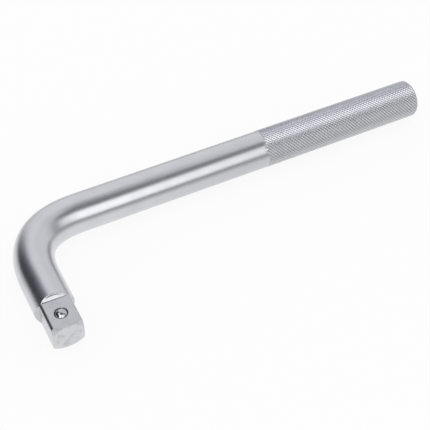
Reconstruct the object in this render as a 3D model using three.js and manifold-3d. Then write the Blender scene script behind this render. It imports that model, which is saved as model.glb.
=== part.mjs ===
import * as THREE from 'three';
import { mergeVertices } from 'three/addons/utils/BufferGeometryUtils.js';
import Module from 'manifold-3d';

// L-handle socket wrench, in millimetres. It lies flat: the square drive's end face is at the origin,
// the short arm runs from it along +Y, the knurled grip runs off along +X, and the ball looks up along +Z.

// Bar: one round bar, forged and bent
const barDiameter = 16.5;
const gripReach = 190; // from the short arm's axis to the end of the grip
const driveReach = 57; // from the long arm's axis to the end of the square drive
const bendReach = 26.5; // where the bend starts on each arm, from the point where the two axes cross
const bendPullShare = 0.67; // of the bend's reach: how far each arm's own line leads into the curve
const bendStepCount = 16;

// Grip: a diamond knurl rolled into the end of the long arm
const gripLength = 76.5;
const gripChamfer = 0.9;
const knurlRise = 0.15; // crests above the plain bar
const knurlDepth = 0.6; // crests to grooves
const knurlRunout = 0.4;
const knurlDiamondCount = 24;
const knurlLengthShare = 0.86; // a diamond's length, of its width

// Square drive
const squareWidth = 12.6; // across the flats
const squareLength = 14; // end face to the foot of each flat's shoulder
const shoulderLean = 1.95; // how far each shoulder leans back along the bar
const endChamferLength = 1.3;
const endChamferDepth = 2.65;
const flatCount = 4;

// Detent: a sprung ball, held in by metal rolled over it
const ballDiameter = 5.5;
const ballSetback = 7; // end face to ball's centre
const ballClearance = 0.1;
const lipHold = 0.15; // how far the rolled lip closes in over the ball's radius
const lipThickness = 0.5;
const lipBevel = 0.35; // the sloping band that the rolling leaves round the mouth
const holeDepth = 9.3; // upper flat to the hole's full-width floor
const drillPointAngle = 118;
const holeSideCount = 32;
const ballStepCount = 16;

// Detent spring
const springWireDiameter = 0.5;
const springSideClearance = 0.4;
const springSeatClearance = 0.1;
const springCurlCount = 4.5;
const springEaseShare = 0.15; // how much flatter the end curls are wound than the middle ones
const springCurlStepCount = 8;
const springWireSideCount = 5;

// What the cutting and joining solids run past the faces that they meet
const overrun = 0.5;

const barRadius = barDiameter / 2;
const barSideCount = 2 * knurlDiamondCount;
const crestRadius = barRadius + knurlRise;
const grooveRadius = crestRadius - knurlDepth;
const flatHeight = squareWidth / 2;
const ballRadius = ballDiameter / 2;
const holeRadius = ballRadius + ballClearance;
const lipRadius = ballRadius - lipHold;
const lipUnderside = flatHeight - lipThickness;
const ballHeight = lipUnderside - Math.sqrt(holeRadius ** 2 - lipRadius ** 2);
const holeFloor = flatHeight - holeDepth;
const drillSlope = 1 / Math.tan(THREE.MathUtils.degToRad(drillPointAngle / 2));

const up = new THREE.Vector3(0, 0, 1);
const wasm = await Module();
wasm.setup();

function welded(geometry) {
  const bare = geometry.clone();
  bare.deleteAttribute('normal');
  bare.deleteAttribute('uv');
  const merged = mergeVertices(bare);
  const corners = merged.index.array;
  const kept = [];
  for (let i = 0; i < corners.length; i += 3) {
    const [a, b, c] = corners.slice(i, i + 3);
    if (a !== b && b !== c && c !== a) kept.push(a, b, c);
  }
  merged.setIndex(kept);
  return merged;
}

function solidOf(geometry) {
  const closed = welded(geometry);
  return new wasm.Manifold(new wasm.Mesh({
    numProp: 3,
    vertProperties: new Float32Array(closed.attributes.position.array),
    triVerts: new Uint32Array(closed.index.array),
  }));
}

function geometryOf(solid) {
  const mesh = solid.getMesh();
  const geometry = new THREE.BufferGeometry();
  geometry.setAttribute('position', new THREE.BufferAttribute(mesh.vertProperties, 3));
  geometry.setIndex(new THREE.BufferAttribute(mesh.triVerts, 1));
  return geometry;
}

// One closed skin over a row of rings. Each cell is split from its lower corner to its lower corner, so
// that grooves run unbroken across a knurl.
function skinOver(rings, startCentre, endCentre) {
  const sides = rings[0].points.length;
  const positions = rings.flatMap((ring) => ring.points.flatMap((point) => point.toArray()));
  positions.push(...startCentre.toArray(), ...endCentre.toArray());
  const startPole = rings.length * sides;
  const endPole = startPole + 1;
  const faces = [];
  for (let row = 0; row < rings.length - 1; row += 1) {
    for (let side = 0; side < sides; side += 1) {
      const next = (side + 1) % sides;
      const [here, there] = [rings[row], rings[row + 1]];
      const [a, b] = [row * sides + side, row * sides + next];
      const [c, d] = [b + sides, a + sides];
      const forward = here.heights[side] + there.heights[next];
      const backward = here.heights[next] + there.heights[side];
      if (forward <= backward) faces.push(a, b, c, a, c, d);
      else faces.push(a, b, d, b, c, d);
    }
  }
  const lastRow = (rings.length - 1) * sides;
  for (let side = 0; side < sides; side += 1) {
    const next = (side + 1) % sides;
    faces.push(startPole, next, side);
    faces.push(endPole, lastRow + side, lastRow + next);
  }
  const geometry = new THREE.BufferGeometry();
  geometry.setAttribute('position', new THREE.Float32BufferAttribute(positions, 3));
  geometry.setIndex(faces);
  return geometry;
}

// A ring of points square to the direction of travel, at the height given for each side
function ringAt(centre, travel, heights) {
  const across = new THREE.Vector3().crossVectors(up, travel).normalize();
  const rise = new THREE.Vector3().crossVectors(travel, across).normalize();
  const points = heights.map((height, side) => {
    const angle = (2 * Math.PI * side) / heights.length;
    return centre.clone()
      .addScaledVector(across, height * Math.cos(angle))
      .addScaledVector(rise, height * Math.sin(angle));
  });
  return { points, heights };
}

function evenHeights(height, sides) {
  return new Array(sides).fill(height);
}

// Every second side of a knurl's row is a crest, and the next row is turned by one side
function knurlHeights(row) {
  const heights = [];
  for (let side = 0; side < barSideCount; side += 1) {
    heights.push((row + side) % 2 ? crestRadius : grooveRadius);
  }
  return heights;
}

function gripRings() {
  const towardBend = new THREE.Vector3(-1, 0, 0);
  const at = (x) => new THREE.Vector3(x, driveReach, 0);
  const knurlEnd = gripReach - gripChamfer;
  const diamondLength = ((2 * Math.PI * crestRadius) / knurlDiamondCount) * knurlLengthShare;
  const rows = 2 * Math.round(gripLength / diamondLength);
  const rings = [ringAt(at(gripReach), towardBend, evenHeights(crestRadius - gripChamfer, barSideCount))];
  for (let row = 0; row <= rows; row += 1) {
    rings.push(ringAt(at(knurlEnd - (gripLength * row) / rows), towardBend, knurlHeights(row)));
  }
  const shankStart = knurlEnd - gripLength - knurlRunout;
  rings.push(ringAt(at(shankStart), towardBend, evenHeights(barRadius, barSideCount)));
  return rings;
}

function bendRings() {
  const led = bendReach * (1 - bendPullShare);
  const bend = new THREE.CubicBezierCurve3(
    new THREE.Vector3(bendReach, driveReach, 0),
    new THREE.Vector3(led, driveReach, 0),
    new THREE.Vector3(0, driveReach - led, 0),
    new THREE.Vector3(0, driveReach - bendReach, 0),
  );
  const heights = evenHeights(barRadius, barSideCount);
  const rings = [];
  for (let step = 0; step <= bendStepCount; step += 1) {
    const travelled = step / bendStepCount;
    rings.push(ringAt(bend.getPoint(travelled), bend.getTangent(travelled), heights));
  }
  return rings;
}

function tipRings() {
  const towardTip = new THREE.Vector3(0, -1, 0);
  const tipCentre = new THREE.Vector3();
  const chamferStart = new THREE.Vector3(0, endChamferLength, 0);
  return [
    ringAt(chamferStart, towardTip, evenHeights(barRadius, barSideCount)),
    ringAt(tipCentre, towardTip, evenHeights(barRadius - endChamferDepth, barSideCount)),
  ];
}

function bentBar() {
  const rings = [...gripRings(), ...bendRings(), ...tipRings()];
  return skinOver(rings, new THREE.Vector3(gripReach, driveReach, 0), new THREE.Vector3());
}

// What is cut away over each flat of the square, with the shoulder's slope at its inner end. The square's
// corners keep the round of the bar.
function flatCut() {
  const cutHeight = barRadius + overrun;
  const lean = (shoulderLean * (cutHeight - flatHeight)) / (barRadius - flatHeight);
  const profile = new THREE.Shape([
    new THREE.Vector2(-overrun, flatHeight),
    new THREE.Vector2(squareLength, flatHeight),
    new THREE.Vector2(squareLength + lean, cutHeight),
    new THREE.Vector2(-overrun, cutHeight),
  ]);
  const width = 2 * cutHeight;
  const cut = new THREE.ExtrudeGeometry(profile, { depth: width, bevelEnabled: false });
  cut.translate(0, 0, -width / 2);
  cut.rotateY(Math.PI / 2);
  cut.rotateX(Math.PI / 2);
  return cut;
}

function withSquareDrive(bar) {
  let squared = bar;
  for (let flat = 0; flat < flatCount; flat += 1) {
    const cut = flatCut().rotateY((2 * Math.PI * flat) / flatCount);
    squared = squared.subtract(solidOf(cut));
  }
  return squared;
}

function placedInDrive(geometry) {
  geometry.rotateX(Math.PI / 2);
  geometry.translate(0, ballSetback, 0);
  return geometry;
}

// The drilled hole. The lip that closes in its mouth slopes down towards the ball.
function detentHole() {
  return solidOf(placedInDrive(new THREE.LatheGeometry([
    new THREE.Vector2(0, holeFloor - holeRadius * drillSlope),
    new THREE.Vector2(holeRadius, holeFloor),
    new THREE.Vector2(holeRadius, lipUnderside),
    new THREE.Vector2(lipRadius, lipUnderside),
    new THREE.Vector2(lipRadius, flatHeight - lipBevel),
    new THREE.Vector2(lipRadius + lipBevel + overrun, flatHeight + overrun),
    new THREE.Vector2(0, flatHeight + overrun),
  ], holeSideCount)));
}

function handleBar() {
  return geometryOf(withSquareDrive(solidOf(bentBar())).subtract(detentHole()));
}

function detentBall() {
  const ball = new THREE.SphereGeometry(ballRadius, 2 * ballStepCount, ballStepCount);
  ball.rotateX(Math.PI / 2);
  return ball;
}

// One open-coiled wire from the drill point's slope up to the ball's underside
function springPath() {
  const wireRadius = springWireDiameter / 2;
  const coilRadius = holeRadius - springSideClearance - wireRadius;
  const reach = wireRadius + springSeatClearance;
  const seat = holeFloor - (holeRadius - coilRadius) * drillSlope;
  const lowest = seat + reach * Math.sqrt(1 + drillSlope ** 2);
  const highest = ballHeight - Math.sqrt((ballRadius + reach) ** 2 - coilRadius ** 2);
  const steps = springCurlCount * springCurlStepCount;
  const path = [];
  for (let step = 0; step <= steps; step += 1) {
    const share = step / steps;
    const eased = share - (springEaseShare * Math.sin(2 * Math.PI * share)) / (2 * Math.PI);
    const angle = (2 * Math.PI * step) / springCurlStepCount;
    path.push(new THREE.Vector3(
      coilRadius * Math.cos(angle),
      coilRadius * Math.sin(angle),
      lowest + (highest - lowest) * eased,
    ));
  }
  return path;
}

function wireAlong(path, wireDiameter, sides) {
  const heights = evenHeights(wireDiameter / 2, sides);
  const rings = path.map((point, index) => {
    const before = path[Math.max(index - 1, 0)];
    const after = path[Math.min(index + 1, path.length - 1)];
    return ringAt(point, new THREE.Vector3().subVectors(after, before).normalize(), heights);
  });
  return skinOver(rings, path[0], path.at(-1));
}

function leastGap(path, wireDiameter) {
  let least = Infinity;
  for (let here = 0; here < path.length; here += 1) {
    for (let there = here + springCurlStepCount / 2; there < path.length; there += 1) {
      least = Math.min(least, path[here].distanceTo(path[there]) - wireDiameter);
    }
  }
  return least;
}

function detentSpring() {
  const path = springPath();
  console.log(`detent spring, least gap to itself: ${leastGap(path, springWireDiameter).toFixed(3)} mm`);
  return wireAlong(path, springWireDiameter, springWireSideCount);
}

function satinChrome() {
  return new THREE.MeshStandardMaterial({ color: 0xc4c6ca, roughness: 0.32, metalness: 1 });
}

function polishedSteel() {
  return new THREE.MeshStandardMaterial({ color: 0xd6d7d9, roughness: 0.08, metalness: 1 });
}

function springSteel() {
  return new THREE.MeshStandardMaterial({ color: 0x8d8f92, roughness: 0.4, metalness: 1 });
}

function piece(name, geometry, material) {
  const mesh = new THREE.Mesh(geometry, material);
  mesh.name = name;
  return mesh;
}

const bar = piece('handle_bar', handleBar(), satinChrome());
const ball = piece('detent_ball', detentBall(), polishedSteel());
ball.position.set(0, ballSetback, ballHeight);
const spring = piece('detent_spring', detentSpring(), springSteel());
spring.position.set(0, ballSetback, 0);

const wrench = new THREE.Group();
wrench.add(bar, ball, spring);

export default wrench;
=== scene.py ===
"""Looks of an L-handle socket wrench: a bent bar in satin chrome with a rolled diamond knurl, a square
drive with a polished ball held in it by a rolled lip, and the coil spring under the ball. Lengths are in
millimetres until a mesh, the camera or the floor is made from them."""

import math

import bmesh
import bpy
import numpy as np
from mathutils import Matrix, Vector


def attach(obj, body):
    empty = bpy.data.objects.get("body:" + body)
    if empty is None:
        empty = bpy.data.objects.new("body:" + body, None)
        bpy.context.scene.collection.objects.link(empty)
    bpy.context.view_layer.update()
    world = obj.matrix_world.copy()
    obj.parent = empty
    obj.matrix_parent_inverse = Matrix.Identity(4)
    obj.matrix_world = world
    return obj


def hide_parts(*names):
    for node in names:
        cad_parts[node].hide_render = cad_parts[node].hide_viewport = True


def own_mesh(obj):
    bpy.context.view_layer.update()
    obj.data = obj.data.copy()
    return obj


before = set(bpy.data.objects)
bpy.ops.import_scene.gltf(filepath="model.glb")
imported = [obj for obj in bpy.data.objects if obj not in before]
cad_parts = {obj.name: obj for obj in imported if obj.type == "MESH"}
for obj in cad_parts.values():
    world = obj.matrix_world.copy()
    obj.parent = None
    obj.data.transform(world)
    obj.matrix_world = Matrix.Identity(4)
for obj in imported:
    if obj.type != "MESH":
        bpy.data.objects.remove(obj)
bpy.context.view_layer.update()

MM = 0.001
TURN = 2 * math.pi
UP = np.array((0.0, 0.0, 1.0))
ALONG_SHORT_ARM = np.array((0.0, 1.0, 0.0))
ALONG_LONG_ARM = np.array((1.0, 0.0, 0.0))
SHARP_ANGLE = math.radians(50)  # faces that meet at more than this have a sharp edge between them

# Bar: one round bar, bent once
BAR_RADIUS = 8.25
GRIP_REACH = 190.0  # from the short arm's axis to the end of the grip
DRIVE_REACH = 57.0  # from the long arm's axis to the end of the square drive
BEND_REACH = 26.5  # where the bend starts on each arm, from the point where the two axes cross
BEND_PULL_SHARE = 0.67  # of the bend's reach: how far each arm's own line leads into the curve
BAR_SIDES = 256
ARM_ROW_LENGTH = 0.7
BEND_ROWS = 96
SHANK_ROW_LENGTH = 2.0

# Grip: a diamond knurl rolled into the end of the long arm
GRIP_LENGTH = 76.5
GRIP_CHAMFER = 0.9
GRIP_CHAMFER_ROWS = 14
GRIP_FACE_SHARES = (0.97, 0.9, 0.7, 0.4, 0.1)  # of the rim's radius: the rings on the grip's end face
CREST_RADIUS = 8.4
DEEP_CUT = 0.43  # crests to the grooves of the wheel that cut deeper
SHALLOW_CUT = 0.28
CUT_STEEPNESS = 0.86  # how far a groove's side rises over one diamond
KNURL_RUNOUT = 0.4
DIAMONDS_AROUND = 32
DIAMONDS_ALONG = 54
ROWS_PER_DIAMOND = 8

# Square drive
FLAT_HEIGHT = 6.3
SQUARE_LENGTH = 14.0
SHOULDER_STEEPNESS = 1.15  # how far the shoulder's slope rises for each millimetre along the bar
SHOULDER_TWIST = 0.06  # how much steeper it is for each millimetre to one side
SHOULDER_WALL = 14.97  # end face to the foot of the steep wall, where that lies furthest back
SHOULDER_WALL_BOW = 0.023
SHOULDER_WALL_MIDDLE = -0.6
SHOULDER_WALL_STEEPNESS = 6.0
END_FACE_RADIUS = 5.6
END_CONE_LENGTH = 1.3
EDGE_ROUNDING = 0.34
CONE_ROUNDING = 0.14
FOOT_ROUNDING = 0.3
END_ROUNDING = 0.5
FAN_CENTRE = 4.0  # the place on the axis from which rays fan out over the end face
FACE_FAN = (5, 48, 9)  # degrees from the axis of the first and last ray over the face, and how many
RIM_FAN = (50, 76, 66)  # the same over its rim and cone
FLAT_START = 2.6
FLAT_END = 13.4
FLAT_ROWS = 38
SHOULDER_END = 15.9
SHOULDER_ROWS = 60
EDGE_TURN = math.radians(43)  # from the middle of a flat: where sides crowd together
EDGE_SPREAD = math.radians(4.5)
EDGE_CROWDING = 2.2
ANGLE_SAMPLES = 721
HALVINGS = 36  # of the stretch in which a ray meets the surface

# Detent: a sprung ball, held in by metal rolled over it
BALL_RADIUS = 2.75
BALL_SETBACK = 7.0  # end face to ball's centre
BALL_CLEARANCE = 0.1
LIP_RADIUS = 2.6
LIP_THICKNESS = 0.5
LIP_BEVEL = 0.16
HOLE_DEPTH = 9.3  # upper flat to the hole's full-width floor
DRILL_POINT_ANGLE = math.radians(118)
MOUTH_ROUNDING = 0.07
CURVE_POINTS = 5  # in each rounded corner of the hole's profile
PATCH_REACH = 4.2  # from the ball's centre to the sides of the patch round the hole
PATCH_MARGIN = 0.25
PATCH_RINGS = 4
BALL_SUBDIVISIONS = 6

# Detent spring
WIRE_RADIUS = 0.25
SIDE_CLEARANCE = 0.4
SEAT_CLEARANCE = 0.1
CURLS = 4.5
EASE_SHARE = 0.15  # how much flatter the end curls are wound than the middle ones
STEPS_PER_CURL = 48
WIRE_SIDES = 16

KNURL_START = GRIP_REACH - GRIP_CHAMFER - GRIP_LENGTH
HOLE_RADIUS = BALL_RADIUS + BALL_CLEARANCE
BALL_HEIGHT = FLAT_HEIGHT - LIP_THICKNESS - math.sqrt(HOLE_RADIUS**2 - LIP_RADIUS**2)
HOLE_FLOOR = FLAT_HEIGHT - HOLE_DEPTH
DRILL_SLOPE = 1 / math.tan(DRILL_POINT_ANGLE / 2)
DETENT_AXIS = np.array((0.0, BALL_SETBACK, 0.0))

# Camera
FRAME_PIXELS = 430
FOCAL_PIXELS = 1050
SENSOR_WIDTH = 36.0
CAMERA_AZIMUTH = math.radians(-27.721)
CAMERA_ELEVATION = math.radians(47.438)
CAMERA_ROLL = math.radians(1.074)
CAMERA_DISTANCE = 434.23
CAMERA_TARGET = Vector((76.59, 30.85, 0.0))
CAMERA_CLIP = 10.0

# Floor
FLOOR_REACH = 3000.0


# Mesh building

def piece_from(name, points, faces, attributes):
    mesh = bpy.data.meshes.new(name)
    mesh.from_pydata((np.asarray(points) * MM).tolist(), [], faces)
    for label, values in attributes.items():
        values = np.asarray(values, np.float32)
        is_number = values.ndim == 1
        layer = mesh.attributes.new(label, "FLOAT" if is_number else "FLOAT_VECTOR", "POINT")
        layer.data.foreach_set("value" if is_number else "vector", values.ravel())
    mesh.shade_smooth()
    piece = bpy.data.objects.new(name, mesh)
    bpy.context.scene.collection.objects.link(piece)
    return piece


def rounded_max(first, second, rounding):
    """The larger of two distances, its edge rounded off where they cross, and how near that edge is"""
    near = np.clip(1 - np.abs(first - second) / rounding, 0, 1)
    return np.maximum(first, second) + near * near * rounding / 4, near


def rounded_min(first, second, rounding):
    return -rounded_max(-first, -second, rounding)[0]


def rounded_profile(corners, rounding):
    """A profile of straight lines whose inner corners are rounded by short curves. A curve takes up a third
    of a line at most."""
    corners = np.asarray(corners, float)
    points = [corners[0]]
    for before, corner, after in zip(corners, corners[1:], corners[2:]):
        back, on = before - corner, after - corner
        back_length, on_length = np.linalg.norm(back), np.linalg.norm(on)
        reach = min(rounding, back_length / 3, on_length / 3)
        start = corner + back * reach / back_length
        end = corner + on * reach / on_length
        for share in np.linspace(0, 1, CURVE_POINTS):
            rest = 1 - share
            points.append(rest**2 * start + 2 * rest * share * corner + share**2 * end)
    points.append(corners[-1])
    return points


# The bar's rows run from the end face of the drive to the end of the grip. Each row is a fan of rays
# from a place on the bar's axis, square to the axis or leaning back towards the end face.

def ray_directions(angles, travel, lean=TURN / 4):
    across = np.cross(UP, travel)
    outward = np.outer(np.cos(angles), across) + np.outer(np.sin(angles), UP)
    return math.sin(lean) * outward - math.cos(lean) * travel


def even_angles():
    return TURN * np.arange(BAR_SIDES) / BAR_SIDES - TURN / 8


def crowded_angles():
    """Angles round the bar that lie closer together at the long edges of the square"""
    fine = np.linspace(-TURN / 8, TURN / 8, ANGLE_SAMPLES)
    nearness = np.exp(-(((np.abs(fine) - EDGE_TURN) / EDGE_SPREAD) ** 2))
    crowd = np.cumsum(1 + EDGE_CROWDING * nearness)
    crowd = (crowd - crowd[0]) / (crowd[-1] - crowd[0])
    quarter_sides = BAR_SIDES // 4
    quarter = np.interp(np.arange(quarter_sides) / quarter_sides, crowd, fine)
    return np.concatenate([quarter + quarter_turn * TURN / 4 for quarter_turn in range(4)])


def past_flat(height, along, aside):
    """How far a place is past a flat of the square, or past the shoulder that rises from its foot as a
    slope, a little out of true, and then as a steep bowed wall"""
    steepness = SHOULDER_STEEPNESS + SHOULDER_TWIST * aside
    past_slope = (height - FLAT_HEIGHT - steepness * (along - SQUARE_LENGTH)) / np.hypot(1, steepness)
    wall_foot = SHOULDER_WALL - SHOULDER_WALL_BOW * (aside - SHOULDER_WALL_MIDDLE) ** 2
    wall_height = SHOULDER_WALL_STEEPNESS * (along - wall_foot)
    past_wall = (height - FLAT_HEIGHT - wall_height) / math.hypot(1, SHOULDER_WALL_STEEPNESS)
    past_shoulder = rounded_min(past_slope, past_wall, FOOT_ROUNDING)
    return rounded_min(height - FLAT_HEIGHT, past_shoulder, FOOT_ROUNDING)


def past_drive(places):
    """How far places are past the drive's surface, how near they are to its rounded edges, and whether
    they lie on the milled square"""
    side, along, height = (places[..., axis] for axis in range(3))
    radius = np.hypot(side, height)
    flare = (BAR_RADIUS - END_FACE_RADIUS) / END_CONE_LENGTH
    past_cone = (radius - END_FACE_RADIUS - flare * along) / math.hypot(1, flare)
    past_square = np.maximum(
        past_flat(np.abs(side), along, height), past_flat(np.abs(height), along, side)
    )
    is_milled = (past_square > radius - BAR_RADIUS) & (past_square > past_cone) & (past_square > -along)
    past, long_edge = rounded_max(past_square, radius - BAR_RADIUS, EDGE_ROUNDING)
    past, cone_edge = rounded_max(past, past_cone, CONE_ROUNDING)
    past, end_edge = rounded_max(past, -along, END_ROUNDING)
    return past, np.maximum(np.maximum(long_edge, cone_edge), end_edge), is_milled


def drive_starts_and_leans():
    """Where on the axis each row of rays starts, and its angle from the way to the end face"""
    fan = np.radians(np.concatenate((np.linspace(*FACE_FAN), np.linspace(*RIM_FAN))))
    flat = np.linspace(FLAT_START, FLAT_END, FLAT_ROWS)
    shoulder = np.linspace(FLAT_END, SHOULDER_END, SHOULDER_ROWS)[1:]
    square_rows = np.concatenate((flat, shoulder))
    starts = np.concatenate((np.full(len(fan), FAN_CENTRE), square_rows))
    return starts, np.concatenate((fan, np.full(len(square_rows), TURN / 4)))


def drive_rows():
    """Points, groove depths, edge nearness and milling of the square drive and its shoulder"""
    starts, leans = drive_starts_and_leans()
    origins = starts[:, None, None] * ALONG_SHORT_ARM
    directions = np.stack([ray_directions(crowded_angles(), ALONG_SHORT_ARM, lean) for lean in leans])
    inside = np.zeros(directions.shape[:2])
    outside = np.full(directions.shape[:2], 2 * BAR_RADIUS)
    for _ in range(HALVINGS):
        middle = (inside + outside) / 2
        is_past = past_drive(origins + middle[..., None] * directions)[0] > 0
        outside = np.where(is_past, middle, outside)
        inside = np.where(is_past, inside, middle)
    points = origins + inside[..., None] * directions
    return points, np.zeros(inside.shape), *past_drive(points)[1:]


def bend_place(share):
    """Centre and direction of travel at a share of the bend"""
    led = BEND_REACH * (1 - BEND_PULL_SHARE)
    corners = np.array((
        (0.0, DRIVE_REACH - BEND_REACH, 0.0),
        (0.0, DRIVE_REACH - led, 0.0),
        (led, DRIVE_REACH, 0.0),
        (BEND_REACH, DRIVE_REACH, 0.0),
    ))
    rest = 1 - share
    centre = np.array((rest**3, 3 * rest**2 * share, 3 * rest * share**2, share**3)) @ corners
    travel = np.array((rest**2, 2 * rest * share, share**2)) @ np.diff(corners, axis=0)
    return centre, travel / np.linalg.norm(travel)


def from_whole(number):
    """How far a number is from the nearest whole one"""
    return np.abs((number + 0.5) % 1 - 0.5)


def knurled_ring(x):
    """Radii, groove depths and edge nearness round the grip at one place along it. Two sets of grooves
    cross each other, and one wheel has cut deeper than the other."""
    along = (x - KNURL_START) / GRIP_LENGTH * DIAMONDS_ALONG
    around = DIAMONDS_AROUND * np.arange(BAR_SIDES) / BAR_SIDES
    deep = DEEP_CUT - CUT_STEEPNESS * from_whole(around - along)
    shallow = SHALLOW_CUT - CUT_STEEPNESS * from_whole(around + along)
    cut = np.maximum(np.maximum(deep, shallow), 0)
    runout = np.clip((x - KNURL_START) / KNURL_RUNOUT + 1, 0, 1)
    knurl = BAR_RADIUS + (CREST_RADIUS - cut - BAR_RADIUS) * runout
    chamfer = CREST_RADIUS - GRIP_CHAMFER + GRIP_REACH - x
    short_of, edge = rounded_max(-knurl, -chamfer, EDGE_ROUNDING)
    return -short_of, cut / DEEP_CUT * runout, edge


def long_arm_place(x):
    return np.array((x, DRIVE_REACH, 0.0)), ALONG_LONG_ARM


def plain_stations():
    """Centre and direction of travel of each row from the shoulder to the knurl"""
    arm_places = np.arange(SHOULDER_END + ARM_ROW_LENGTH, DRIVE_REACH - BEND_REACH, ARM_ROW_LENGTH)
    stations = [(y * ALONG_SHORT_ARM, ALONG_SHORT_ARM) for y in arm_places]
    stations += [bend_place(share) for share in np.linspace(0, 1, BEND_ROWS)]
    shank_end = KNURL_START - KNURL_RUNOUT
    shank_places = np.arange(BEND_REACH + SHANK_ROW_LENGTH, shank_end, SHANK_ROW_LENGTH)
    return stations + [long_arm_place(x) for x in shank_places]


def knurl_places():
    row_length = GRIP_LENGTH / (DIAMONDS_ALONG * ROWS_PER_DIAMOND)
    chamfer_start = GRIP_REACH - GRIP_CHAMFER - row_length
    rolled = np.arange(KNURL_START - KNURL_RUNOUT, chamfer_start, row_length)
    return np.concatenate((rolled, np.linspace(chamfer_start, GRIP_REACH, GRIP_CHAMFER_ROWS)))


def rows_past_the_drive():
    """Points, groove depths, edge nearness and milling from the shoulder to the end of the grip, and
    where the knurl starts among these rows"""
    none = np.zeros(BAR_SIDES)
    plain = [(*station, none + BAR_RADIUS, none, none) for station in plain_stations()]
    knurled = [(*long_arm_place(x), *knurled_ring(x)) for x in knurl_places()]
    rim = knurled[-1][2]
    face = [(*long_arm_place(GRIP_REACH), rim * share, none, none) for share in GRIP_FACE_SHARES]
    fading_rows = (DRIVE_REACH - BEND_REACH - SHOULDER_END) / ARM_ROW_LENGTH
    points, grooves, edges = [], [], []
    for index, (centre, travel, radii, groove, edge) in enumerate(plain + knurled + face):
        evenness = min(1, (index + 1) / fading_rows)
        angles = crowded_angles() * (1 - evenness) + even_angles() * evenness
        points.append(centre + radii[:, None] * ray_directions(angles, travel))
        grooves.append(groove)
        edges.append(edge)
    points = np.stack(points)
    return points, np.stack(grooves), np.stack(edges), np.zeros(points.shape[:2]), len(plain)


def grid_faces(grooves, first_knurled_row, hole):
    """Faces between the rows: quads on the plain bar, and triangles that keep the knurl's grooves sharp.
    The cells of the hole are left open."""
    hole_rows, hole_sides = hole
    faces = []
    for row in range(len(grooves) - 1):
        for side in range(BAR_SIDES):
            if row in hole_rows and side in hole_sides:
                continue
            after = (side + 1) % BAR_SIDES
            a, b = row * BAR_SIDES + side, row * BAR_SIDES + after
            c, d = b + BAR_SIDES, a + BAR_SIDES
            if row < first_knurled_row:
                faces.append((a, b, c, d))
            elif grooves[row, side] + grooves[row + 1, after] >= grooves[row, after] + grooves[row + 1, side]:
                faces += [(a, b, c), (a, c, d)]
            else:
                faces += [(a, b, d), (b, c, d)]
    return faces


def hole_cells(points):
    """The rows and sides of the upper flat that the detent's patch takes the place of"""
    top = BAR_SIDES // 4 + BAR_SIDES // 8  # the side that looks straight up
    rows = np.flatnonzero(np.abs(points[:, top, 1] - BALL_SETBACK) < PATCH_REACH)
    is_near = (np.abs(points[rows[0], :, 0]) < PATCH_REACH) & (points[rows[0], :, 2] > 0)
    sides = np.flatnonzero(is_near)
    return range(rows[0], rows[-1]), range(sides[0], sides[-1])


def hole_rim(hole):
    """The points round the open cells, anticlockwise as seen from above"""
    rows, sides = hole
    near = [(rows.start, side) for side in sides]
    right = [(row, sides.stop) for row in rows]
    far = [(rows.stop, side) for side in range(sides.stop, sides.start, -1)]
    left = [(row, sides.start) for row in range(rows.stop, rows.start, -1)]
    return [row * BAR_SIDES + side for row, side in near + right + far + left]


def mouth_profile():
    """Radius and height from the upper flat over the rolled lip and down to the drill's point"""
    mouth_radius = LIP_RADIUS + LIP_BEVEL
    return rounded_profile((
        (mouth_radius + PATCH_MARGIN, FLAT_HEIGHT),
        (mouth_radius, FLAT_HEIGHT),
        (LIP_RADIUS, FLAT_HEIGHT - LIP_BEVEL),
        (LIP_RADIUS, FLAT_HEIGHT - LIP_THICKNESS),
        (HOLE_RADIUS, FLAT_HEIGHT - LIP_THICKNESS),
        (HOLE_RADIUS, HOLE_FLOOR),
        (MOUTH_ROUNDING, HOLE_FLOOR - (HOLE_RADIUS - MOUTH_ROUNDING) * DRILL_SLOPE),
    ), MOUTH_ROUNDING)


def detent_patch(points, rim):
    """Rings from the rim of the open cells to the rolled lip and down the drilled hole, and the middle of
    the drill's point"""
    rim_points = points.reshape(-1, 3)[rim]
    turned = np.arctan2(rim_points[:, 1] - BALL_SETBACK, rim_points[:, 0])
    outward = np.stack((np.cos(turned), np.sin(turned), np.zeros(len(rim))), axis=1)
    profile = [DETENT_AXIS + radius * outward + height * UP for radius, height in mouth_profile()]
    shares = np.arange(1, PATCH_RINGS) / PATCH_RINGS
    flat_rings = [rim_points * (1 - share) + profile[0] * share for share in shares]
    return flat_rings + profile, DETENT_AXIS + (HOLE_FLOOR - HOLE_RADIUS * DRILL_SLOPE) * UP


def patch_faces(rim, first_point, ring_count):
    """Faces from the rim inward, ring by ring, to the one middle point"""
    count = len(rim)
    middle = first_point + ring_count * count
    rings = [rim] + [range(start, start + count) for start in range(first_point, middle, count)]
    faces = []
    for outer, inner in zip(rings, rings[1:]):
        for side in range(count):
            after = (side + 1) % count
            faces.append((outer[side], outer[after], inner[after], inner[side]))
    faces += [(rings[-1][side], rings[-1][(side + 1) % count], middle) for side in range(count)]
    return faces


def lengths_along(centres):
    """How far along a line of centres each of them lies"""
    steps = np.linalg.norm(np.diff(centres, axis=0), axis=1)
    return np.concatenate(((0.0,), np.cumsum(steps)))


def unrolled_places(points):
    """Where each point would be if the bar were straight: along its axis, then across it. Grain and
    polishing lines follow the bend by it."""
    centres = points.mean(axis=1)
    along = lengths_along(centres)
    across = np.linalg.norm(points - centres[:, None], axis=2)
    angles = even_angles()
    return np.stack((
        np.repeat(along[:, None], BAR_SIDES, axis=1),
        across * np.cos(angles),
        across * np.sin(angles),
    ), axis=2)


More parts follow.
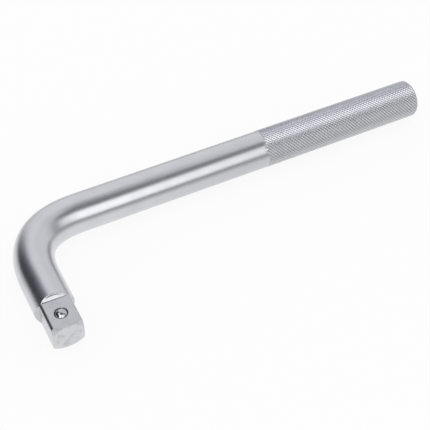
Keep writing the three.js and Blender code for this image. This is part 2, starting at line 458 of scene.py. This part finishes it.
def end_faces(tip, grip_middle, last_row):
    """Faces from the middle of each of the bar's two ends to the ring round it"""
    faces = []
    for side in range(BAR_SIDES):
        after = (side + 1) % BAR_SIDES
        faces.append((tip, after, side))
        faces.append((grip_middle, last_row + side, last_row + after))
    return faces


def make_bar():
    drive = drive_rows()
    *later, plain_rows = rows_past_the_drive()
    points, grooves, edges, milled = (np.concatenate(pair) for pair in zip(drive, later))
    hole = hole_cells(points)
    rim = hole_rim(hole)
    rings, drill_point = detent_patch(points, rim)
    grid_size = points.shape[0] * BAR_SIDES
    tip = grid_size
    grip_middle = tip + 1
    first_patch_point = tip + 2
    faces = grid_faces(grooves, len(drive[0]) + plain_rows, hole)
    faces += end_faces(tip, grip_middle, grid_size - BAR_SIDES)
    faces += patch_faces(rim, first_patch_point, len(rings))
    extra = np.concatenate((
        np.zeros((1, 3)),
        np.array(((GRIP_REACH, DRIVE_REACH, 0.0),)),
        np.concatenate(rings),
        drill_point[None],
    ))
    all_points = np.concatenate((points.reshape(-1, 3), extra))
    no_mask = np.zeros(len(extra))
    patch_mask = np.arange(len(extra)) >= first_patch_point - grid_size
    extra_places = extra[:, (1, 0, 2)] * (1, -1, 1)  # on the drive the bar runs along +Y
    bar = piece_from("forged_bar", all_points, faces, {
        "groove": np.concatenate((grooves.ravel(), no_mask)),
        "edge": np.concatenate((edges.ravel(), no_mask)),
        "milled": np.concatenate((milled.ravel(), patch_mask)),
        "unrolled": np.concatenate((unrolled_places(points).reshape(-1, 3), extra_places)),
    })
    bar.data.set_sharp_from_angle(angle=SHARP_ANGLE)
    return bar


def make_ball():
    shell = bmesh.new()
    bmesh.ops.create_icosphere(shell, subdivisions=BALL_SUBDIVISIONS, radius=BALL_RADIUS)
    places = np.array([vertex.co for vertex in shell.verts])
    faces = [tuple(vertex.index for vertex in face.verts) for face in shell.faces]
    shell.free()
    centre = DETENT_AXIS + BALL_HEIGHT * UP
    return piece_from("sprung_ball", places + centre, faces, {"unrolled": places})


def spring_stations():
    """Centres of the wire, from the drill's point up to the underside of the ball, and the way outward from
    the coil's axis at each"""
    coil_radius = HOLE_RADIUS - SIDE_CLEARANCE - WIRE_RADIUS
    reach = WIRE_RADIUS + SEAT_CLEARANCE
    seat = HOLE_FLOOR - (HOLE_RADIUS - coil_radius) * DRILL_SLOPE
    lowest = seat + reach * math.hypot(1, DRILL_SLOPE)
    highest = BALL_HEIGHT - math.sqrt((BALL_RADIUS + reach) ** 2 - coil_radius**2)
    shares = np.linspace(0, 1, round(CURLS * STEPS_PER_CURL) + 1)
    eased = shares - EASE_SHARE * np.sin(TURN * shares) / TURN
    angles = TURN * CURLS * shares
    outward = np.stack((np.cos(angles), np.sin(angles), np.zeros(len(angles))), axis=1)
    heights = lowest + (highest - lowest) * eased
    return DETENT_AXIS + coil_radius * outward + heights[:, None] * UP, outward


def wire_faces(ring_count):
    """Faces round the wire from ring to ring, and one over each end"""
    faces = []
    for ring in range(ring_count - 1):
        for side in range(WIRE_SIDES):
            after = (side + 1) % WIRE_SIDES
            a, b = ring * WIRE_SIDES + side, ring * WIRE_SIDES + after
            faces.append((a, b, b + WIRE_SIDES, a + WIRE_SIDES))
    faces.append(tuple(reversed(range(WIRE_SIDES))))
    faces.append(tuple(range((ring_count - 1) * WIRE_SIDES, ring_count * WIRE_SIDES)))
    return faces


def make_spring():
    centres, outward = spring_stations()
    travel = np.gradient(centres, axis=0)
    travel /= np.linalg.norm(travel, axis=1)[:, None]
    rise = np.cross(travel, outward)
    turned = TURN * np.arange(WIRE_SIDES) / WIRE_SIDES
    rings = [
        centre + WIRE_RADIUS * (np.outer(np.cos(turned), out) + np.outer(np.sin(turned), up))
        for centre, out, up in zip(centres, outward, rise)
    ]
    across = WIRE_RADIUS * np.stack((np.cos(turned), np.sin(turned)), axis=1)
    places = [
        np.column_stack((np.full(WIRE_SIDES, along), across)) for along in lengths_along(centres)
    ]
    spring = piece_from("detent_coil", np.concatenate(rings), wire_faces(len(rings)), {
        "unrolled": np.concatenate(places),
    })
    spring.data.set_sharp_from_angle(angle=SHARP_ANGLE)
    return spring


# Node building

MIX_FACTOR, MIX_FIRST, MIX_SECOND, MIX_RESULT = 0, 6, 7, 2


def add_node(tree, kind, inputs=None, **settings):
    """A node with its settings and inputs. An input that is another node's output is linked to it."""
    node = tree.nodes.new(kind)
    for setting, value in settings.items():
        setattr(node, setting, value)
    for label, value in (inputs or {}).items():
        if isinstance(value, bpy.types.NodeSocket):
            tree.links.new(value, node.inputs[label])
        else:
            node.inputs[label].default_value = value
    return node


def calculate(tree, operation, first, second=0.0, clamp=False):
    inputs = {0: first, 1: second}
    return add_node(tree, "ShaderNodeMath", inputs, operation=operation, use_clamp=clamp).outputs[0]


def mix_colours(tree, share, first, second):
    inputs = {MIX_FACTOR: share, MIX_FIRST: first, MIX_SECOND: second}
    return add_node(tree, "ShaderNodeMix", inputs, data_type="RGBA").outputs[MIX_RESULT]


def step_between(tree, value, start, end, low=0.0, high=1.0):
    inputs = {"Value": value, "From Min": start, "From Max": end, "To Min": low, "To Max": high}
    return add_node(tree, "ShaderNodeMapRange", inputs, interpolation_type="SMOOTHSTEP").outputs[0]


def noise(tree, place, scale, detail, roughness):
    inputs = {"Vector": place, "Scale": scale, "Detail": detail, "Roughness": roughness}
    return add_node(tree, "ShaderNodeTexNoise", inputs).outputs[0]


def attribute(tree, label, output):
    return add_node(tree, "ShaderNodeAttribute", attribute_name=label).outputs[output]


def new_group(name, inputs, outputs):
    tree = bpy.data.node_groups.new(name, "ShaderNodeTree")
    for label, kind, value in inputs:
        made = tree.interface.new_socket(name=label, in_out="INPUT", socket_type=kind)
        if value is not None:
            made.default_value = value
    for label, kind in outputs:
        tree.interface.new_socket(name=label, in_out="OUTPUT", socket_type=kind)
    return tree, tree.nodes.new("NodeGroupInput").outputs, tree.nodes.new("NodeGroupOutput").inputs


def use_group(tree, group, inputs):
    return add_node(tree, "ShaderNodeGroup", inputs, node_tree=group).outputs


FLOAT = "NodeSocketFloat"
VECTOR = "NodeSocketVector"


# Effects that the finishes are put together from, each a node group. Places are in millimetres.

RUBBED_THROUGH = 0.75  # of the noise: from here on an edge is rubbed fully bright
LINE_START = 0.82  # of the noise: where scratches start at an amount of nothing
LINE_SPREAD = 0.3  # how far that start comes down at an amount of one
LINE_FADE = 0.08
EVEN_DIRT_AND_SHADE_SHARE = 0.35  # added to the noise, so that some dirt and painted shade lies in every groove


def make_grain_group():
    """Fine satin grain, and slow clouds of more and less polish"""
    tree, given, result = new_group(
        "satin grain",
        (("Place", VECTOR, None), ("Grain Size", FLOAT, 0.4), ("Cloud Size", FLOAT, 10.0)),
        (("Height", FLOAT), ("Cloud", FLOAT)),
    )
    grain_scale = calculate(tree, "DIVIDE", 1.0, given["Grain Size"])
    cloud_scale = calculate(tree, "DIVIDE", 1.0, given["Cloud Size"])
    grain = noise(tree, given["Place"], grain_scale, detail=3.0, roughness=0.65)
    cloud = noise(tree, given["Place"], cloud_scale, detail=3.0, roughness=0.55)
    tree.links.new(grain, result["Height"])
    tree.links.new(cloud, result["Cloud"])
    return tree


def make_rub_group():
    """Where edges are rubbed bright, in uneven patches"""
    tree, given, result = new_group(
        "rubbed edges",
        (("Edge", FLOAT, 0.0), ("Place", VECTOR, None), ("Patch Size", FLOAT, 1.5), ("Wear", FLOAT, 0.5)),
        (("Rubbed", FLOAT),),
    )
    patch_scale = calculate(tree, "DIVIDE", 1.0, given["Patch Size"])
    patches = noise(tree, given["Place"], patch_scale, detail=4.0, roughness=0.6)
    first_rubbed = calculate(tree, "SUBTRACT", RUBBED_THROUGH, given["Wear"])
    worn = step_between(tree, patches, first_rubbed, RUBBED_THROUGH)
    near = step_between(tree, given["Edge"], start=0.35, end=0.95)
    tree.links.new(calculate(tree, "MULTIPLY", near, worn), result["Rubbed"])
    return tree


def make_hairline_group():
    """Sparse fine scratches that run along one direction"""
    tree, given, result = new_group(
        "hairline scratches",
        (("Place", VECTOR, None), ("Length", FLOAT, 6.0), ("Width", FLOAT, 0.12), ("Amount", FLOAT, 0.3)),
        (("Scratch", FLOAT),),
    )
    along = calculate(tree, "DIVIDE", 1.0, given["Length"])
    across = calculate(tree, "DIVIDE", 1.0, given["Width"])
    stretch = add_node(tree, "ShaderNodeCombineXYZ", {0: along, 1: across, 2: across}).outputs[0]
    stretched = add_node(
        tree, "ShaderNodeVectorMath", {0: given["Place"], 1: stretch}, operation="MULTIPLY"
    ).outputs[0]
    lines = noise(tree, stretched, scale=1.0, detail=1.0, roughness=0.4)
    lowered = calculate(tree, "MULTIPLY", given["Amount"], LINE_SPREAD)
    start = calculate(tree, "SUBTRACT", LINE_START, lowered)
    end = calculate(tree, "ADD", start, LINE_FADE)
    tree.links.new(step_between(tree, lines, start, end), result["Scratch"])
    return tree


def make_groove_dirt_and_shade_group():
    """Dull dirt that stays at the bottom of grooves, and painted shade in them"""
    tree, given, result = new_group(
        "groove dirt and painted shade",
        (("Depth", FLOAT, 0.0), ("Place", VECTOR, None), ("Amount", FLOAT, 0.6)),
        (("Dirt And Shade", FLOAT),),
    )
    uneven = noise(tree, given["Place"], scale=0.35, detail=3.0, roughness=0.6)
    deep = step_between(tree, given["Depth"], start=0.45, end=1.0)
    thickness = calculate(tree, "ADD", uneven, EVEN_DIRT_AND_SHADE_SHARE)
    share = calculate(tree, "MULTIPLY", given["Amount"], thickness)
    tree.links.new(calculate(tree, "MULTIPLY", deep, share, clamp=True), result["Dirt And Shade"])
    return tree


grain_group = make_grain_group()
rub_group = make_rub_group()
hairline_group = make_hairline_group()
groove_dirt_and_shade_group = make_groove_dirt_and_shade_group()


# Finishes

CHROME = (0.64, 0.648, 0.672, 1.0)
DULL_CHROME = (0.61, 0.62, 0.655, 1.0)
MILLED_CHROME = (0.545, 0.552, 0.572, 1.0)
SMUDGED_CHROME = (0.47, 0.485, 0.535, 1.0)
RUBBED_CHROME = (0.68, 0.685, 0.70, 1.0)
# colour of the deepest grooves: the dull dirt that settles there, and painted shade
GROOVE_DIRT_AND_SHADE = (0.30, 0.305, 0.32, 1.0)
BALL_STEEL = (0.56, 0.565, 0.575, 1.0)
BALL_HAZE = (0.50, 0.505, 0.52, 1.0)
WIRE_STEEL = (0.46, 0.465, 0.48, 1.0)
WIRE_BLUED = (0.34, 0.345, 0.38, 1.0)

# What is added to a surface's roughness, or taken off it
GROOVE_DIRT_DULLS = 0.12
RUBBING_SHINES = 0.07
SCRATCH_SHINES = 0.03
BALL_SCRATCH_DULLS = 0.05
DRAW_LINE_DULLS = 0.08

# Heights in the bump, in millimetres
PLATE_GRAIN = 0.028
BALL_GRAIN = 0.0004
WIRE_GRAIN = 0.004
SCRATCH_DEPTH = 0.1  # of the plate's grain


def new_metal(name):
    material = bpy.data.materials.new(name)
    material.use_nodes = True
    surface = material.node_tree.nodes["Principled BSDF"]
    surface.inputs["Metallic"].default_value = 1.0
    return material, material.node_tree, surface


def add_bump(tree, surface, height, distance):
    bump = add_node(tree, "ShaderNodeBump", {"Height": height, "Distance": distance * MM})
    tree.links.new(bump.outputs[0], surface.inputs["Normal"])


def satin_chrome():
    material, tree, surface = new_metal("satin_chrome_plate")
    place = attribute(tree, "unrolled", "Vector")
    grain = use_group(tree, grain_group, {"Place": place, "Grain Size": 0.42, "Cloud Size": 9.0})
    rubbed = use_group(tree, rub_group, {
        "Edge": attribute(tree, "edge", "Fac"), "Place": place, "Patch Size": 1.4, "Wear": 0.4,
    })["Rubbed"]
    # how much settled dirt and painted shade lies in the knurl's grooves
    dirt_and_shade = use_group(tree, groove_dirt_and_shade_group, {
        "Depth": attribute(tree, "groove", "Fac"), "Place": place, "Amount": 0.65,
    })["Dirt And Shade"]
    scratch = use_group(tree, hairline_group, {
        "Place": place, "Length": 7.0, "Width": 0.16, "Amount": 0.25,
    })["Scratch"]
    dullness = step_between(tree, grain["Cloud"], start=0.3, end=0.75)
    plate = mix_colours(tree, dullness, CHROME, DULL_CHROME)
    plate = mix_colours(tree, attribute(tree, "milled", "Fac"), plate, MILLED_CHROME)
    along = add_node(tree, "ShaderNodeSeparateXYZ", {0: place}).outputs[0]
    on_square = step_between(tree, along, SQUARE_LENGTH, SHOULDER_END, low=1.0, high=0.0)
    patches = noise(tree, place, scale=0.38, detail=4.0, roughness=0.62)
    smudge = step_between(tree, patches, start=0.42, end=0.68, low=0.0, high=0.7)
    smudge = calculate(tree, "MULTIPLY", smudge, on_square)
    plate = mix_colours(tree, smudge, plate, SMUDGED_CHROME)
    # the grooves darkened: settled dirt, and painted shade
    plate = mix_colours(tree, dirt_and_shade, plate, GROOVE_DIRT_AND_SHADE)
    plate = mix_colours(tree, rubbed, plate, RUBBED_CHROME)
    tree.links.new(plate, surface.inputs["Base Color"])
    rough = step_between(tree, grain["Cloud"], start=0.3, end=0.75, low=0.235, high=0.265)
    rough = calculate(tree, "ADD", rough, calculate(tree, "MULTIPLY", dirt_and_shade, GROOVE_DIRT_DULLS))
    rough = calculate(tree, "SUBTRACT", rough, calculate(tree, "MULTIPLY", rubbed, RUBBING_SHINES))
    rough = calculate(tree, "SUBTRACT", rough, calculate(tree, "MULTIPLY", scratch, SCRATCH_SHINES))
    tree.links.new(rough, surface.inputs["Roughness"])
    cut = calculate(tree, "MULTIPLY", scratch, SCRATCH_DEPTH)
    height = calculate(tree, "SUBTRACT", grain["Height"], cut)
    add_bump(tree, surface, height, PLATE_GRAIN)
    return material


def polished_ball():
    material, tree, surface = new_metal("polished_ball_steel")
    place = attribute(tree, "unrolled", "Vector")
    grain = use_group(tree, grain_group, {"Place": place, "Grain Size": 0.1, "Cloud Size": 1.6})
    scratch = use_group(tree, hairline_group, {
        "Place": place, "Length": 1.4, "Width": 0.05, "Amount": 0.3,
    })["Scratch"]
    haze = step_between(tree, grain["Cloud"], start=0.42, end=0.68)
    tree.links.new(mix_colours(tree, haze, BALL_STEEL, BALL_HAZE), surface.inputs["Base Color"])
    rough = step_between(tree, grain["Cloud"], start=0.4, end=0.7, low=0.04, high=0.075)
    rough = calculate(tree, "ADD", rough, calculate(tree, "MULTIPLY", scratch, BALL_SCRATCH_DULLS))
    tree.links.new(rough, surface.inputs["Roughness"])
    add_bump(tree, surface, grain["Height"], BALL_GRAIN)
    return material


def spring_wire():
    material, tree, surface = new_metal("drawn_spring_wire")
    place = attribute(tree, "unrolled", "Vector")
    grain = use_group(tree, grain_group, {"Place": place, "Grain Size": 0.12, "Cloud Size": 3.0})
    draw_line = use_group(tree, hairline_group, {
        "Place": place, "Length": 9.0, "Width": 0.05, "Amount": 0.9,
    })["Scratch"]
    blueing = step_between(tree, grain["Cloud"], start=0.4, end=0.62)
    tree.links.new(mix_colours(tree, blueing, WIRE_STEEL, WIRE_BLUED), surface.inputs["Base Color"])
    rough = step_between(tree, grain["Cloud"], start=0.35, end=0.7, low=0.3, high=0.42)
    rough = calculate(tree, "ADD", rough, calculate(tree, "MULTIPLY", draw_line, DRAW_LINE_DULLS))
    tree.links.new(rough, surface.inputs["Roughness"])
    height = calculate(tree, "SUBTRACT", grain["Height"], draw_line)
    add_bump(tree, surface, height, WIRE_GRAIN)
    return material


# The object

def place_piece(piece, body, node, material):
    piece.data.materials.append(material)
    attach(piece, body)
    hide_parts(node)


bar = make_bar()
place_piece(bar, "handle", "handle_bar", satin_chrome())

ball = make_ball()
place_piece(ball, "ball", "detent_ball", polished_ball())

spring = make_spring()
place_piece(spring, "handle", "detent_spring", spring_wire())
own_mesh(spring)


# Camera

def compass(azimuth, elevation):
    """The way to a place at an azimuth from the front, -Y, towards +X, and at an elevation"""
    level = math.cos(elevation)
    return Vector((math.sin(azimuth) * level, -math.cos(azimuth) * level, math.sin(elevation)))


def add_camera():
    lens = bpy.data.cameras.new("camera")
    lens.sensor_width = SENSOR_WIDTH
    lens.lens = SENSOR_WIDTH * FOCAL_PIXELS / FRAME_PIXELS
    lens.clip_start = CAMERA_CLIP * MM
    camera = bpy.data.objects.new("camera", lens)
    bpy.context.scene.collection.objects.link(camera)
    back = compass(CAMERA_AZIMUTH, CAMERA_ELEVATION)
    level_right = Vector((math.cos(CAMERA_AZIMUTH), math.sin(CAMERA_AZIMUTH), 0.0))
    level_up = back.cross(level_right)
    right = level_right * math.cos(CAMERA_ROLL) + level_up * math.sin(CAMERA_ROLL)
    upward = level_up * math.cos(CAMERA_ROLL) - level_right * math.sin(CAMERA_ROLL)
    turned = Matrix((right, upward, back)).transposed()
    place = (CAMERA_TARGET + back * CAMERA_DISTANCE) * MM
    camera.matrix_world = Matrix.Translation(place) @ turned.to_4x4()
    bpy.context.scene.camera = camera


add_camera()


# Studio: a room with a pale and a dark side, soft boxes and dark cards, which only the metal sees, and
# white paper

ROOM_STOPS = (
    # azimuth, strength, and how blue
    (-180, 0.88, 1.02), (-168, 0.78, 1.03), (-158, 0.36, 1.1), (-148, 0.10, 1.2), (-136, 0.035, 1.3),
    (-120, 0.03, 1.3), (-60, 0.03, 1.3), (-14, 0.06, 1.2), (4, 0.24, 1.05), (40, 0.36, 1.05),
    (62, 0.44, 1.05), (82, 0.74, 1.04), (104, 0.84, 1.02), (136, 0.82, 1.02), (160, 0.93, 1.02),
    (180, 0.90, 1.02),
)
BOX_LEAST_AHEAD = 0.001  # keeps directions beside and behind a soft box from a division by nothing
BOX_SIDE_FADE = 0.05  # over which a box ends for directions at right angles to it

PAPER_WHITE = 0.985  # to the camera, where nothing shades it
PAPER_SHADE = 0.09  # the part of that brightness that the object can shade
PAPER_FALL_OFF = 0.88  # to the metal, at the grip
DARK_FIBRE = 0.97
PALE_FIBRE = 1.03


def bluish(strength, blueness):
    return (strength, strength, strength * blueness, 1.0)


def grey(strength):
    return bluish(strength, 1.0)


def make_soft_box_group():
    """How much of a soft box, or of a dark card, lies in a direction"""
    tree, given, result = new_group(
        "soft box",
        (
            ("Direction", VECTOR, None), ("Azimuth", FLOAT, 0.0), ("Elevation", FLOAT, 0.0),
            ("Half Width", FLOAT, 0.3), ("Half Height", FLOAT, 0.3), ("Softness", FLOAT, 0.1),
        ),
        (("Lit", FLOAT),),
    )
    back_turn = calculate(tree, "MULTIPLY", given["Azimuth"], -1.0)
    level = add_node(tree, "ShaderNodeVectorRotate", {
        "Vector": given["Direction"], "Angle": back_turn,
    }, rotation_type="Z_AXIS").outputs[0]
    faced = add_node(tree, "ShaderNodeVectorRotate", {
        "Vector": level, "Angle": given["Elevation"],
    }, rotation_type="X_AXIS").outputs[0]
    parts = add_node(tree, "ShaderNodeSeparateXYZ", {0: faced}).outputs
    forward = calculate(tree, "MULTIPLY", parts[1], -1.0)
    ahead = calculate(tree, "MAXIMUM", forward, BOX_LEAST_AHEAD)
    lit = step_between(tree, forward, 0.0, BOX_SIDE_FADE)
    for part, label in ((parts[0], "Half Width"), (parts[2], "Half Height")):
        offset = calculate(tree, "ABSOLUTE", calculate(tree, "DIVIDE", part, ahead))
        inner = calculate(tree, "SUBTRACT", given[label], given["Softness"])
        outer = calculate(tree, "ADD", given[label], given["Softness"])
        within = step_between(tree, offset, inner, outer, low=1.0, high=0.0)
        lit = calculate(tree, "MULTIPLY", lit, within)
    tree.links.new(lit, result["Lit"])
    return tree


# Azimuth, elevation, half width, half height, softness, strength, and how blue. Where two of them
# overlap, the later one covers the earlier one.
SOFT_BOXES = (
    (-86, 4, 0.60, 0.24, 0.10, 0.34, 1.1),  # dim and low, to light the shank as seen from its end
    (40, 65, 0.30, 0.15, 0.06, 0.22, 1.05),  # dark card
    (28, 32, 0.30, 0.36, 0.10, 1.08, 1.0),
    (4, 33, 0.24, 0.42, 0.08, 1.66, 1.0),
    (-94, 61, 0.42, 0.28, 0.08, 1.1, 1.1),
    (0, 90, 0.22, 0.22, 0.07, 0.12, 1.2),  # dark card overhead
    (-37, 38, 0.28, 0.42, 0.08, 1.9, 1.03),
)


def room_light(tree, direction):
    """Brightness of the room in a direction, as the metal sees it"""
    turned = add_node(tree, "ShaderNodeMapping", {"Vector": direction, "Rotation": (0, 0, TURN / 4)})
    around = add_node(tree, "ShaderNodeTexGradient", {"Vector": turned.outputs[0]}, gradient_type="RADIAL")
    ramp = add_node(tree, "ShaderNodeValToRGB", {0: around.outputs["Fac"]})
    stops = ramp.color_ramp.elements
    for index, (azimuth, strength, blueness) in enumerate(ROOM_STOPS):
        stop = stops[index] if index < len(stops) else stops.new(1.0)
        stop.position = (azimuth + 180) / 360
        stop.color = bluish(strength, blueness)
    light = ramp.outputs[0]
    for azimuth, elevation, half_width, half_height, softness, strength, blueness in SOFT_BOXES:
        lit = use_group(tree, soft_box_group, {
            "Direction": direction, "Azimuth": math.radians(azimuth), "Elevation": math.radians(elevation),
            "Half Width": half_width, "Half Height": half_height, "Softness": softness,
        })["Lit"]
        light = mix_colours(tree, lit, light, bluish(strength, blueness))
    return light


def set_world():
    """The room to the metal, and plain white to everything else"""
    world = bpy.data.worlds.new("studio")
    world.use_nodes = True
    tree = world.node_tree
    backdrop = tree.nodes["Background"]
    direction = add_node(tree, "ShaderNodeTexCoord").outputs["Generated"]
    path = add_node(tree, "ShaderNodeLightPath").outputs
    seen = mix_colours(tree, path["Is Glossy Ray"], grey(1.0), room_light(tree, direction))
    tree.links.new(seen, backdrop.inputs["Color"])
    bpy.context.scene.world = world


def paper_white():
    """White paper: shaded where the object rests on it, and to the metal darker at a low angle and
    towards the grip"""
    material = bpy.data.materials.new("white_paper")
    material.use_nodes = True
    tree = material.node_tree
    tree.nodes.clear()
    place = add_node(tree, "ShaderNodeTexCoord").outputs["Object"]
    fibre = noise(tree, place, scale=900.0, detail=3.0, roughness=0.6)
    paper = mix_colours(tree, fibre, grey(DARK_FIBRE * PAPER_SHADE), grey(PALE_FIBRE * PAPER_SHADE))
    shade = add_node(tree, "ShaderNodeBsdfDiffuse", {"Color": paper}).outputs[0]
    facing = add_node(tree, "ShaderNodeLayerWeight", {"Blend": 0.5}).outputs["Facing"]
    steep = step_between(tree, facing, start=0.55, end=1.0, low=0.98, high=0.52)
    along = add_node(tree, "ShaderNodeSeparateXYZ", {0: place}).outputs[0]
    far = step_between(tree, along, BEND_REACH * MM, KNURL_START * MM, low=1.0, high=PAPER_FALL_OFF)
    lit = calculate(tree, "MULTIPLY", steep, far)
    path = add_node(tree, "ShaderNodeLightPath").outputs
    to_camera = add_node(tree, "ShaderNodeEmission", {"Strength": PAPER_WHITE - PAPER_SHADE}).outputs[0]
    seen = add_node(tree, "ShaderNodeAddShader", {0: shade, 1: to_camera}).outputs[0]
    to_metal = add_node(tree, "ShaderNodeEmission", {"Strength": lit}).outputs[0]
    shaders = {0: path["Is Glossy Ray"], 1: seen, 2: to_metal}
    mixed = add_node(tree, "ShaderNodeMixShader", shaders).outputs[0]
    add_node(tree, "ShaderNodeOutputMaterial", {"Surface": mixed})
    return material


def add_floor():
    mesh = bpy.data.meshes.new("floor")
    reach = FLOOR_REACH * MM
    height = -CREST_RADIUS * MM
    ways = ((-1, -1), (1, -1), (1, 1), (-1, 1))
    corners = [(x * reach, y * reach, height) for x, y in ways]
    mesh.from_pydata(corners, [], [(0, 1, 2, 3)])
    mesh.materials.append(paper_white())
    floor = bpy.data.objects.new("floor", mesh)
    bpy.context.scene.collection.objects.link(floor)


soft_box_group = make_soft_box_group()
set_world()
add_floor()
bpy.context.scene.view_settings.view_transform = "Standard"
